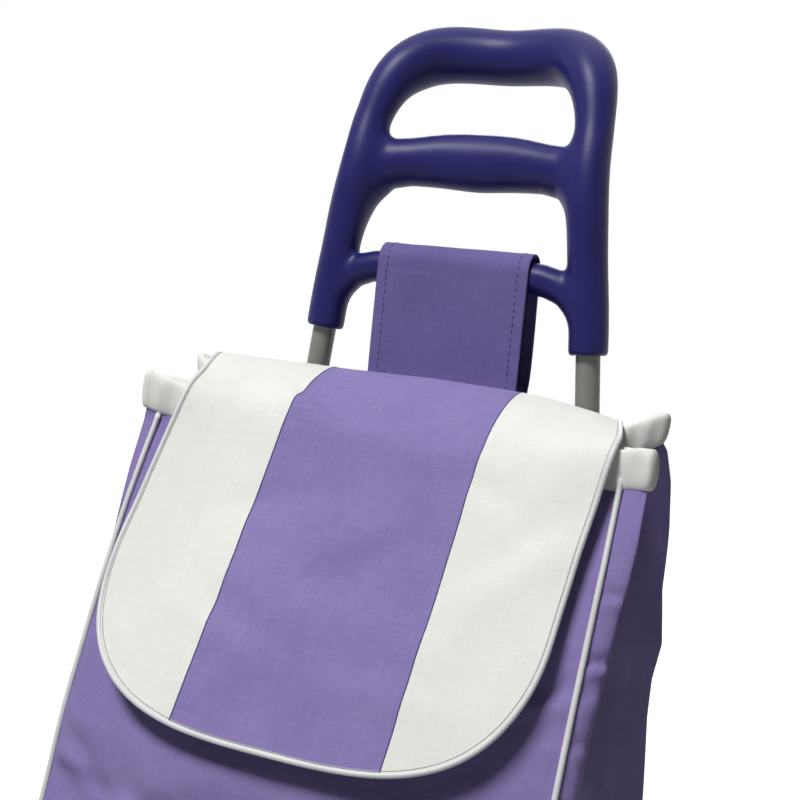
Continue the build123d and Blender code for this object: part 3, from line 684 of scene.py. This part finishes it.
def hemSurface():
    # a soft casing: squared oval section carried round the mouth, puckered by waves along its run,
    # lower and tilted at the rear corners
    turn = np.linspace(0, 2 * math.pi, hem["section"], endpoint=False)[None, :]
    phase = hemRun[:, None] / hemRun[-1] * 2 * math.pi
    pucker = sum(np.sin(phase * waves + start + turn * spin) * size for waves, start, spin, size in hemWaves)
    thick = hem["halfThick"] + hem["puckerThick"] * pucker
    nearEar = sum(np.exp(-((hemU - at) / hem["earReach"]) ** 2) for at in (0.0, 1.0, 4.0))[:, None]
    high = hem["halfHigh"] * (1 - hem["earLow"] * nearEar) + hem["puckerHigh"] * pucker
    across = np.sign(np.cos(turn)) * np.abs(np.cos(turn)) ** 0.6 * thick
    upright = np.sign(np.sin(turn)) * np.abs(np.sin(turn)) ** 0.75 * high
    tilt = hem["tilt"] * nearEar
    outward = across * np.cos(tilt) - upright * np.sin(tilt)
    rising = across * np.sin(tilt) + upright * np.cos(tilt)
    return hemLine[:, None] + hemOut[:, None] * outward[..., None] + np.array([0, 0, 1.0]) * rising[..., None]


hemPoints = hemSurface()
hemGirth = runRound(hemPoints[150]) * 0.001
hemUv = np.stack(np.broadcast_arrays((np.r_[hemRun, hemRun[-1] + 2] * 0.001)[:, None], hemGirth[None]), -1)
hemObj = dress(gridMesh("mouth_hem", hemPoints, True, True, hemUv), whiteCloth)
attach(hemObj, "frame")
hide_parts("front_hem", "rear_hem", "left_side_hem", "right_side_hem")
print("hem", hemPoints.shape)

# front piping
piping = {"radius": 1.8, "lift": 1.2, "underHem": 8.0, "count": 220, "soften": 7}
frontSkin, frontOut = bagSkin[:, turnSide == 2], bagOut[:, turnSide == 2]
rows = np.arange(len(bagSkin))
for sideName, sign in (("left", -1), ("right", 1)):
    target = cordLine(sign, frontSkin[:, :, 2].mean(1))
    pick = np.clip(np.argmin(np.abs(frontSkin[:, :, 0] - target[:, None]), axis=1), 1, frontSkin.shape[1] - 2)
    slope = frontSkin[rows, pick + 1] - frontSkin[rows, pick - 1]
    share = (target - frontSkin[rows, pick, 0]) / slope[:, 0]
    run = frontSkin[rows, pick] + slope * share[:, None] + frontOut[rows, pick] * piping["lift"]
    below = run[:, 2] < bag["cornerTop"] - piping["underHem"]
    line = smoothPath(run[below], piping["count"], piping["soften"])
    cordObj = dress(tubeMesh(sideName + "_front_cord", line, piping["radius"], 12, (1, 0, 0)), pipingVinyl)
    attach(cordObj, "frame")
    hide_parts(sideName + "_front_piping")
print("front piping")

# strap
strap = {"half": 54.0, "thick": 1.6, "barZ": 50.0, "wrap": 11.6, "columns": 61, "stitchColumn": 4, "trim": 8}
turnBar = np.linspace(math.pi, 0, 40)
strapLine = np.concatenate([
    np.array([[-14.0, -104.0], [-14.0, -80.0], [-12.6, -55.0], [-12.0, -20.0], [-strap["wrap"], 20.0]]),
    np.stack([strap["wrap"] * np.cos(turnBar), strap["barZ"] + strap["wrap"] * np.sin(turnBar)], 1),
    np.array([[12.5, 20.0], [12.0, -20.0], [6.0, -45.0], [-8.0, -74.0], [-11.5, -84.0], [-11.5, -104.0]]),
])
strapPath = smoothPath(strapLine, 260, 2.5)


def strapSurface():
    # a band: the side profile carried straight across the width and lifted a touch by a slow ripple
    s = np.linspace(-1, 1, strap["columns"])[None, :]
    step = unit(np.gradient(strapPath, axis=0))
    out = np.stack([-step[:, 1], step[:, 0]], 1)
    run = runAlong(strapPath)[:, None]
    calm = np.clip((run - 30) / 60, 0, 1) * np.clip((run[-1] - run) / 90, 0, 1)  # toward both ends
    lift = 0.7 * ripple(run, s * strap["half"], 31, 90) * calm
    lift = np.where(np.abs(strapPath[:, 1:] - 55) < 12, np.abs(lift) * 0.4, lift)  # only outward over the bar
    y = strapPath[:, :1] + out[:, :1] * lift
    z = strapPath[:, 1:] + out[:, 1:] * lift
    return np.stack(np.broadcast_arrays(strap["half"] * s + 0 * run, y, z), -1), run


strapPoints, strapRun = strapSurface()
strapUv = np.stack(np.broadcast_arrays(strapPoints[..., 0] * 0.001, strapRun * 0.001), -1)
strapObj = dress(gridMesh("hanging_strap", strapPoints, uv=strapUv), strapCloth)
band = strapObj.modifiers.new("thickness", "SOLIDIFY")
band.thickness = strap["thick"] * 0.001
band.offset = 0
edge = strapObj.modifiers.new("edge", "BEVEL")
edge.width = 0.0006
edge.segments = 2
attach(strapObj, "frame")
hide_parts("strap")
strapOut = np.cross(unit(np.gradient(strapPoints, axis=1)), unit(np.gradient(strapPoints, axis=0)))
inside = slice(strap["trim"], -strap["trim"])
for tag, column in (("left", strap["stitchColumn"]), ("right", strap["columns"] - 1 - strap["stitchColumn"])):
    for lane, sign in (("outer", 1.0), ("inner", -1.0)):
        seamOut = strapOut[inside, column]
        seam = strapPoints[inside, column] + sign * seamOut * 0.95
        seamObj = dress(stitchMesh("strap_stitch_" + tag + "_" + lane, seam, seamOut), purpleThread)
        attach(seamObj, "frame")
print("strap", strapRun[-1])

# flap
flap = {
    "half": 146.0, "seam": 67.0, "power": 3.0, "thick": 1.6, "ovalFrom": 0.66, "length": 0.985,
    "hingeStart": (-46.0, -26.0), "hingeEnd": (-80.0, -42.0),
    "foldStart": (-98.0, -60.0), "foldEnd": (-124.0, -102.0),
    "columns": 46, "topRows": 56, "frontRows": 120, "off": 4.0, "clearFrom": -62.0, "edgePower": 2.6,
    "hangFrom": 75.0, "hangOver": 90.0, "foldAt": 88.0, "foldWide": 24.0, "easeOver": 14.0,
}
# lines from the rear seam over the hem and down the front, point by point alike: the middle, then each edge
middleKnots = np.array([
    (0, -14.5, -36), (0, -16.5, -29.5), (0, -22, -25), (0, -38, -23.5), (0, -58, -31), (0, -78, -42.5),
    (0, -94, -55.5), (0, -103, -69), (0, -125, -104), (0, -150, -145), (0, -180, -194), (0, -204, -233),
    (0, -206, -236),
])
leftKnots = np.array([
    (-147, -42, -34), (-147, -45, -27), (-146.5, -49, -22.5), (-145, -58, -22.5), (-141, -74, -29.5),
    (-137, -90, -36), (-135, -104, -42), (-138, -110, -58), (-143.5, -127, -98), (-146.5, -150, -138),
    (-146, -178, -186), (-146, -202, -230), (-146, -204, -233),
])
rightKnots = np.array([
    (135, -45, -45), (135, -47.5, -38), (136, -52, -33.5), (138, -60, -34.5), (143, -76, -37.5),
    (147.5, -92, -40.5), (148.5, -105, -44.5), (146, -109.5, -60), (142, -125, -98), (139, -146, -138),
    (138, -173, -186), (138, -196, -228), (138, -198, -231),
])
knotRun = runAlong(middleKnots)
flapLong = float(knotRun[-1])
flapShare = np.linspace(0, 1, 400)


def flapTrack(knots, soften=11):
    # the points spread by the middle line's length, then averaged with a bell curve
    return softenRows(readRows(flapShare, knotRun / flapLong, knots), bellCurve(3 * soften, soften))


middleLine, leftLine, rightLine = (flapTrack(k) for k in (middleKnots, leftKnots, rightKnots))
# where the front piece takes over from the top
topShare = float(np.interp(-flap["hingeEnd"][0], -middleLine[:, 1], flapShare))
flapCreases = [
    (-50, 84, 0.45, 26, 6, 2.8), (-8, 90, -0.2, 40, 9, 1.7), (42, 100, 0.2, 45, 9, 2.0),
    (74, 128, 0.6, 30, 8, 1.4), (-40, 158, -0.3, 50, 12, 1.7), (22, 216, 0.2, 60, 14, 1.9),
    (-100, 120, 0.8, 40, 10, 1.3), (108, 170, -0.7, 45, 12, 1.3), (-52, 236, 0.35, 34, 9, 1.5),
    (10, 178, -0.5, 40, 10, -1.3), (48, 250, 0.15, 40, 10, 1.3),
]


def flapEnd(x):
    # share of the profile's length reached at x: straight sides, then a squared oval across the bottom
    share = np.clip(np.abs(x) / flap["half"], 0, 1)
    oval = (1 - share ** flap["power"]) ** (1 / flap["power"])
    return flap["ovalFrom"] + (flap["length"] - flap["ovalFrom"]) * oval


def flapPoint(x, r):
    # the middle profile turning into the edge profiles towards the sides, with soft creases about the fold,
    # and never deeper than just in front of the bag
    toEdge = np.clip(np.abs(x) / flap["half"], 0, 1.1) ** flap["edgePower"]
    middle, left, right = (readRows(r, flapShare, line) for line in (middleLine, leftLine, rightLine))
    edge = np.where((x > 0)[..., None], right, left)
    y, z = ((1 - toEdge) * middle[..., k] + toEdge * edge[..., k] for k in (1, 2))
    seam = np.sign(x) * flap["seam"]
    aside = (np.abs(x) - flap["seam"]) / (flap["half"] - flap["seam"])
    placed = np.where(aside > 0, seam + aside * (edge[..., 0] - seam), x)
    s = r * flapLong
    hang = np.clip((s - flap["hangFrom"]) / flap["hangOver"], 0, 1)
    fold = np.exp(-((s - flap["foldAt"]) / flap["foldWide"]) ** 2)
    wave = ripple(x * 0.8, s * 2.2, 41, 120) * (0.5 + 1.3 * fold * (1 - toEdge))
    wave = wave + ripple(x, s, 47, 260) * 1.5 * hang
    wave = wave + ripple(x * 1.1, s * 0.8, 53, 60) * 0.35 + creases(x, s, flapCreases)
    ease = np.clip(s / flap["easeOver"], 0, 1)
    y = y - (0.3 + 0.5 * hang) * wave * ease
    z = z + (0.85 - 0.4 * hang) * wave * ease
    clear = bagFront(np.clip(placed, -160, 160), z) - flap["off"]
    y = np.where(z < flap["clearFrom"], np.minimum(y, clear), y)
    return np.stack(np.broadcast_arrays(placed, y, z), -1)


def columnsAcross(x0, x1, columns):
    # positions across the flap that bunch up towards its sides
    ends = np.arcsin(np.clip(np.array([x0, x1]) / flap["half"], -1, 1))
    return flap["half"] * np.sin(np.linspace(*ends, columns))


def flapStrip(x0, x1, toEnd):
    # columns run from the rear seam to the takeover line, or from there to the oval's edge
    x = columnsAcross(x0, x1, flap["columns"])
    start, end = (topShare + 0 * x, flapEnd(x)) if toEnd else (0 * x, topShare + 0 * x)
    rows = np.linspace(0, 1, flap["frontRows"] if toEnd else flap["topRows"])[:, None]
    r = start[None] + rows * (end - start)[None]
    allX = x[None] + 0 * r
    return flapPoint(allX, r), np.stack([allX, r * flapLong], -1) * 0.001


def bendTop(obj):
    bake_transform(obj)


def bendFront(obj):
    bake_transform(obj)


stripeEdges = {"left": (-flap["half"], -flap["seam"], whiteCloth, "white_fabric"),
               "centre": (-flap["seam"], flap["seam"], purpleCloth, "purple_fabric"),
               "right": (flap["seam"], flap["half"], whiteCloth, "white_fabric")}
for stripe, (x0, x1, finish, slotName) in stripeEdges.items():
    for part, toEnd in (("top", False), ("front", True)):
        face, uv = flapStrip(x0, x1, toEnd)
        cloth = dress(gridMesh("flap_" + part + "_cloth_" + stripe, face, uv=uv), finish)
        layers = cloth.modifiers.new("thickness", "SOLIDIFY")
        layers.thickness = flap["thick"] * 0.001
        layers.offset = -1
        layers.use_rim = False
        (bendFront if toEnd else bendTop)(cloth)
        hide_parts("flap_" + part + "_" + stripe)


def flapRim(inset, lift, part):
    # path round the flap's free edge, drawn in by inset and lifted off the cloth:
    # the front's U or one side of the top
    drawn = inset / flapLong
    if part == "front":
        bend = np.linspace(-math.pi / 2, math.pi / 2, 260)
        x = (flap["half"] - inset) * np.sin(bend)
        end = flapEnd(flap["half"] * np.sin(bend)) - drawn
        up = np.linspace(topShare, end[0], 60)[:-1]
        allX = np.concatenate([np.full(len(up), x[0]), x, np.full(len(up), x[-1])])
        allR = np.concatenate([up, end, up[::-1]])
    else:
        allR = np.linspace(5 / flapLong, topShare, 80)
        allX = np.full(len(allR), (flap["half"] - inset) * part)
    small = 1 / flapLong
    dx = flapPoint(allX + 1, allR) - flapPoint(allX - 1, allR)
    ds = flapPoint(allX, allR + small) - flapPoint(allX, allR - small)
    normal = unit(np.cross(ds, dx))
    normal = normal * np.sign(normal[:, 2:] + 1e-9)
    return flapPoint(allX, allR) + normal * lift


# the cord round the flap's free edge, then the thin grey seam line inside it that paints the groove's shade:
# radius, inset and lift of each
flapEdge = {
    "cord": 1.7, "cordInset": -0.6, "cordLift": -0.7, "seam": 0.4, "shadeLineInset": 1.5, "shadeLineLift": -0.12,
}
edgeTilt = (0.05, 0.8, -0.5)
for tag, part in (("front", "front"), ("left", -1), ("right", 1)):
    cordPath = flapRim(flapEdge["cordInset"], flapEdge["cordLift"], part)
    cordPath = smoothPath(cordPath, 420 if part == "front" else 80, 1.5)
    cord = dress(tubeMesh("flap_cord_" + tag, cordPath, flapEdge["cord"], 12, edgeTilt), pipingVinyl)
    # thin grey tube just inside the cord, painted shade of the groove between cord and cloth
    seamShadePath = flapRim(flapEdge["shadeLineInset"], flapEdge["shadeLineLift"], part)
    seam = dress(tubeMesh("flap_seam_shade_" + tag, seamShadePath, flapEdge["seam"], 6, edgeTilt), seamGrooveShade)
    for obj in (cord, seam):
        (bendFront if part == "front" else bendTop)(obj)
    if part == "front":
        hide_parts("flap_piping")
for tag, x in (("left", -flap["seam"]), ("right", flap["seam"])):
    for part, start, end, count in (("top", 0.01, topShare, 60), ("front", topShare, flapEnd(x), 160)):
        line = flapPoint(np.full(count, x), np.linspace(start, end, count)) - [0, 0.12, 0.1]
        seam = dress(tubeMesh("flap_" + part + "_seam_" + tag, line, 0.42, 6, (1, 0, 0)), purpleThread)
        (bendFront if part == "front" else bendTop)(seam)
print("flap edge")

# camera, light, floor
view = {
    "centre": (364.7, -880.3, 27.4), "yaw": 24.32, "rise": 4.23, "roll": 5.64,
    "focal": 1417.1, "wide": 800, "sensor": 36,
}


def placeMatrix(x, y, z, where):
    return Matrix([*np.column_stack([x, y, z, where]).tolist(), (0, 0, 0, 1)])


yaw, rise, roll = (math.radians(view[k]) for k in ("yaw", "rise", "roll"))
back = np.array([math.sin(yaw) * math.cos(rise), -math.cos(yaw) * math.cos(rise), math.sin(rise)])
level = np.array([math.cos(yaw), math.sin(yaw), 0.0])
upright = np.cross(back, level)
camX = math.cos(roll) * level + math.sin(roll) * upright
camY = -math.sin(roll) * level + math.cos(roll) * upright
camData = bpy.data.cameras.new("camera")
camData.sensor_width = view["sensor"]
camData.lens = view["focal"] / view["wide"] * view["sensor"]
camera = bpy.data.objects.new("camera", camData)
camera.matrix_world = placeMatrix(camX, camY, back, toRow(view["centre"]))
bpy.context.scene.collection.objects.link(camera)
bpy.context.scene.camera = camera


def softbox(name, where, aim, size, power):
    data = bpy.data.lights.new(name, "AREA")
    data.shape = "RECTANGLE"
    data.size, data.size_y = size
    data.energy = power
    lamp = bpy.data.objects.new(name, data)
    zAxis = unit(np.subtract(where, aim))
    xAxis = unit(np.cross([0, 0, 1.0], zAxis))
    lamp.matrix_world = placeMatrix(xAxis, np.cross(zAxis, xAxis), zAxis, where)
    bpy.context.scene.collection.objects.link(lamp)


softbox("keyLight", (-0.62, -1.52, 2.98), (0, 0, 0.6), (1.0, 0.7), 82)
softbox("topLight", (0.1, 0.3, 2.6), (0, 0, 0.7), (1.8, 1.4), 5)
softbox("fillLight", (2.2, -1.3, 1.2), (0, 0, 0.6), (1.4, 1.8), 0.3)
softbox("rearLight", (-0.7, 2.3, 1.7), (0, 0, 0.5), (1.4, 1.2), 16)


def seenRays(tree, links):
    # 1 for rays that show the background: straight from the camera, mirrored or through glass
    path = tree.new("ShaderNodeLightPath")
    total = path.outputs["Is Camera Ray"]
    for name in ("Is Glossy Ray", "Is Transmission Ray"):
        add = tree.new("ShaderNodeMath")
        add.operation = "MAXIMUM"
        links.new(total, add.inputs[0])
        links.new(path.outputs[name], add.inputs[1])
        total = add.outputs[0]
    return total


world = bpy.data.worlds.new("studio")
bpy.context.scene.world = world
world.use_nodes = True
worldNodes, worldLinks = world.node_tree.nodes, world.node_tree.links
ambient = worldNodes["Background"]
setInputs(ambient, {"Color": (1, 1, 1, 1), "Strength": 0.012})
white = worldNodes.new("ShaderNodeBackground")
setInputs(white, {"Color": (1, 1, 1, 1), "Strength": 1.0})
pick = worldNodes.new("ShaderNodeMixShader")
worldLinks.new(seenRays(worldNodes, worldLinks), pick.inputs["Fac"])
worldLinks.new(ambient.outputs[0], pick.inputs[1])
worldLinks.new(white.outputs[0], pick.inputs[2])
worldLinks.new(pick.outputs[0], worldNodes["World Output"].inputs["Surface"])

floorMesh = bpy.data.meshes.new("floor")
floorHalf = 6
floorCorners = [(x * floorHalf, y * floorHalf, 0) for x, y in ((-1, -1), (1, -1), (1, 1), (-1, 1))]
floorMesh.from_pydata(floorCorners, [], [(0, 1, 2, 3)])
floor = bpy.data.objects.new("floor", floorMesh)
bpy.context.scene.collection.objects.link(floor)
floorFinish, floorNodes, floorLinks, floorShader = newMaterial("paleFloor")
setInputs(floorShader, {"Base Color": (0.5, 0.5, 0.5, 1), "Roughness": 0.9})
# the floor's own glow rises to plain white away from the object, where the lamps no longer reach
away = floorNodes.new("ShaderNodeVectorMath")
away.operation = "LENGTH"
floorLinks.new(floorNodes.new("ShaderNodeTexCoord").outputs["Object"], away.inputs[0])
rising = floorNodes.new("ShaderNodeMapRange")
setInputs(rising, {"From Min": 0.7, "From Max": 2.2, "To Min": 0.86, "To Max": 1.0})
floorLinks.new(away.outputs["Value"], rising.inputs["Value"])
shown = floorNodes.new("ShaderNodeMath")
shown.operation = "MULTIPLY"
floorLinks.new(seenRays(floorNodes, floorLinks), shown.inputs[0])
floorLinks.new(rising.outputs["Result"], shown.inputs[1])
glow = floorNodes.new("ShaderNodeEmission")
floorLinks.new(shown.outputs[0], glow.inputs["Strength"])
bright = floorNodes.new("ShaderNodeAddShader")
floorLinks.new(floorShader.outputs[0], bright.inputs[0])
floorLinks.new(glow.outputs[0], bright.inputs[1])
floorLinks.new(bright.outputs[0], floorNodes["Material Output"].inputs["Surface"])
dress(floor, floorFinish)

bpy.context.scene.view_settings.view_transform = "Standard"
print("scene ready")
